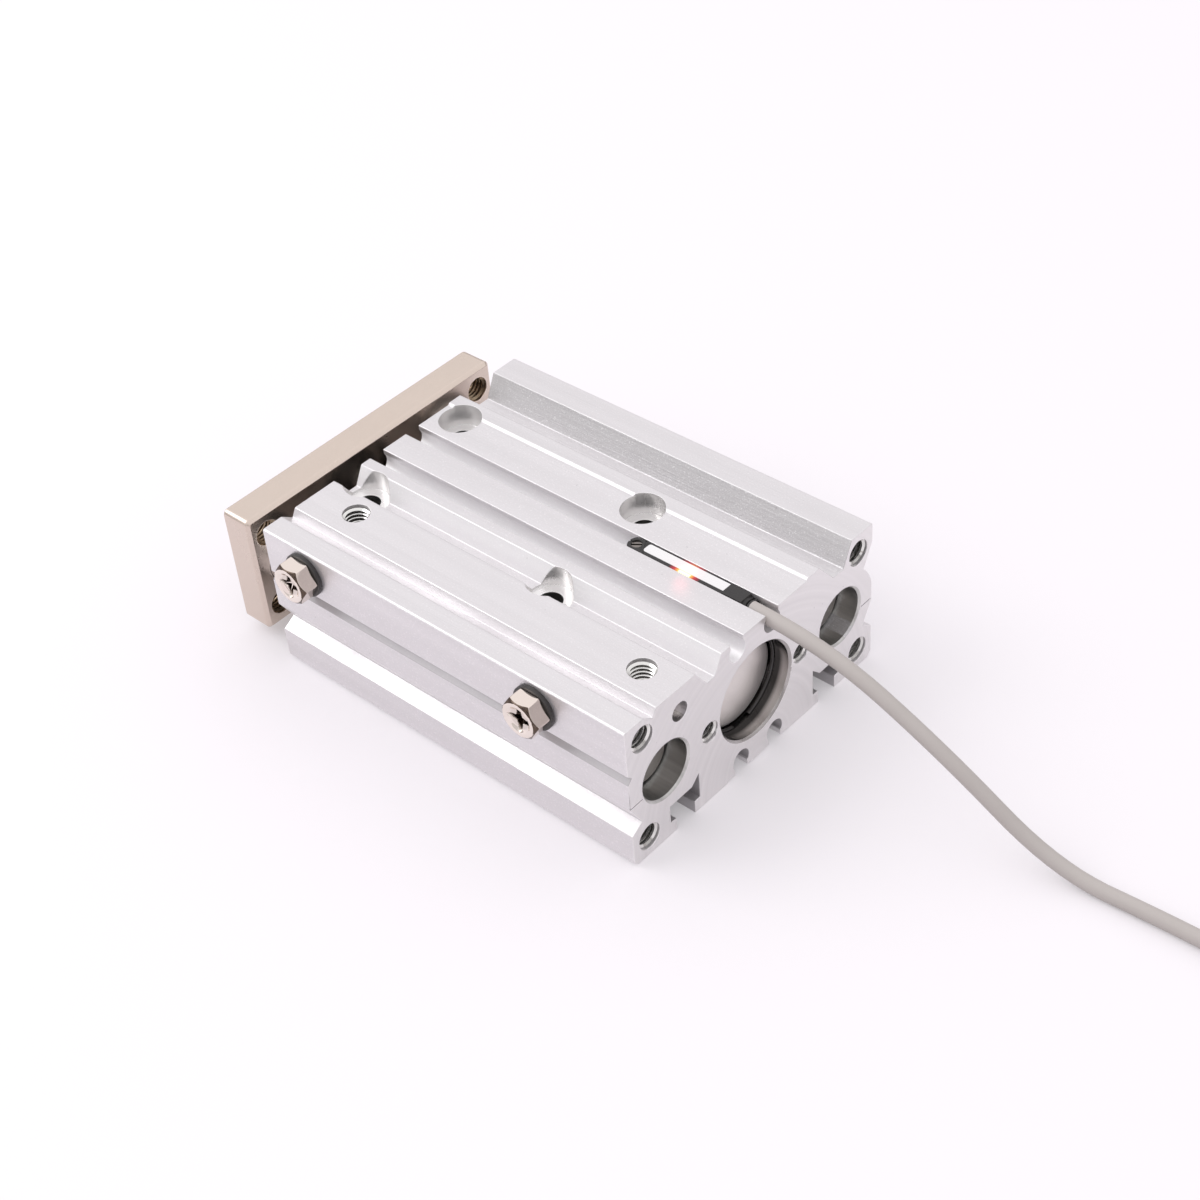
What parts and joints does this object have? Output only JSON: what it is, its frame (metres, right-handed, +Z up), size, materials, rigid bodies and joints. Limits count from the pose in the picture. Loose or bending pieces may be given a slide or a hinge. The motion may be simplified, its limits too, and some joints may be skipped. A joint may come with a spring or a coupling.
{
  "type": "guided pneumatic cylinder",
  "caption": "Compact air cylinder with twin guide rods and a tool plate, slotted aluminium body, threaded ports, plugged side ports and a clamped position switch on a lead.",
  "frame": {"origin": "on the body's underside, at the centre of its four mounting holes", "axes": "+X from the back face towards the tool plate, the way the rods extend; +Y towards the side with the air ports; +Z up from the underside"},
  "size_m": [0.2309, 0.0838, 0.03],
  "materials": {
    "body_aluminium": "satin clear anodised",
    "cover_aluminium": "machined",
    "ring_steel": "phosphated spring steel",
    "seal_rubber": "nitrile rubber",
    "bearing_bronze": "sintered bronze",
    "felt_white": "oiled felt",
    "ball_steel": "polished",
    "plug_nickel": "nickel plated",
    "washer_grey": "sealing washer",
    "switch_black": "moulded",
    "label_white": "bare plate",
    "lamp_amber": "lit window",
    "screw_steel": "black oxide",
    "cable_grey": "vinyl jacket",
    "core_brown": "vinyl",
    "core_blue": "vinyl",
    "plate_nickel": "nickel plated",
    "rod_chrome": "hard chrome",
    "magnet_dark": "bonded magnet",
    "bumper_urethane": "urethane",
    "bolt_steel": "nickel plated"
  },
  "bodies": {
    "barrel": {"cylinder_body": "body_aluminium", "head_cover": "cover_aluminium", "head_cover_ring": "ring_steel", "head_cover_gasket": "seal_rubber", "rod_collar": "cover_aluminium", "rod_collar_ring": "ring_steel", "rod_collar_gasket": "seal_rubber", "rod_seal": "seal_rubber", "guide_bushings_port_side": "bearing_bronze", "guide_bushings_far_side": "bearing_bronze", "guide_felts": "felt_white", "felt_holders": "ring_steel", "gallery_ball": "ball_steel", "rear_port_plug": "plug_nickel", "front_port_plug": "plug_nickel", "rear_plug_washer": "washer_grey", "front_plug_washer": "washer_grey", "switch_body": "switch_black", "switch_label": "label_white", "switch_lamp": "lamp_amber", "switch_screw": "screw_steel", "switch_lead": "cable_grey", "lead_coil": "cable_grey", "lead_core_brown": "core_brown", "lead_core_blue": "core_blue"},
    "carriage": {"front_plate": "plate_nickel", "piston_rod": "rod_chrome", "piston": "cover_aluminium", "piston_magnet": "magnet_dark", "piston_seal": "seal_rubber", "bumper_head_side": "bumper_urethane", "bumper_rod_side": "bumper_urethane", "guide_rod_port_side": "rod_chrome", "guide_rod_far_side": "rod_chrome", "rod_bolt": "bolt_steel", "guide_rod_bolts": "bolt_steel"}
  },
  "joints": [
    {"name": "plate_slide", "type": "slide", "parent": "barrel", "child": "carriage", "axis": [1, 0, 0], "range_m": [0, 0.05]}
  ]
}
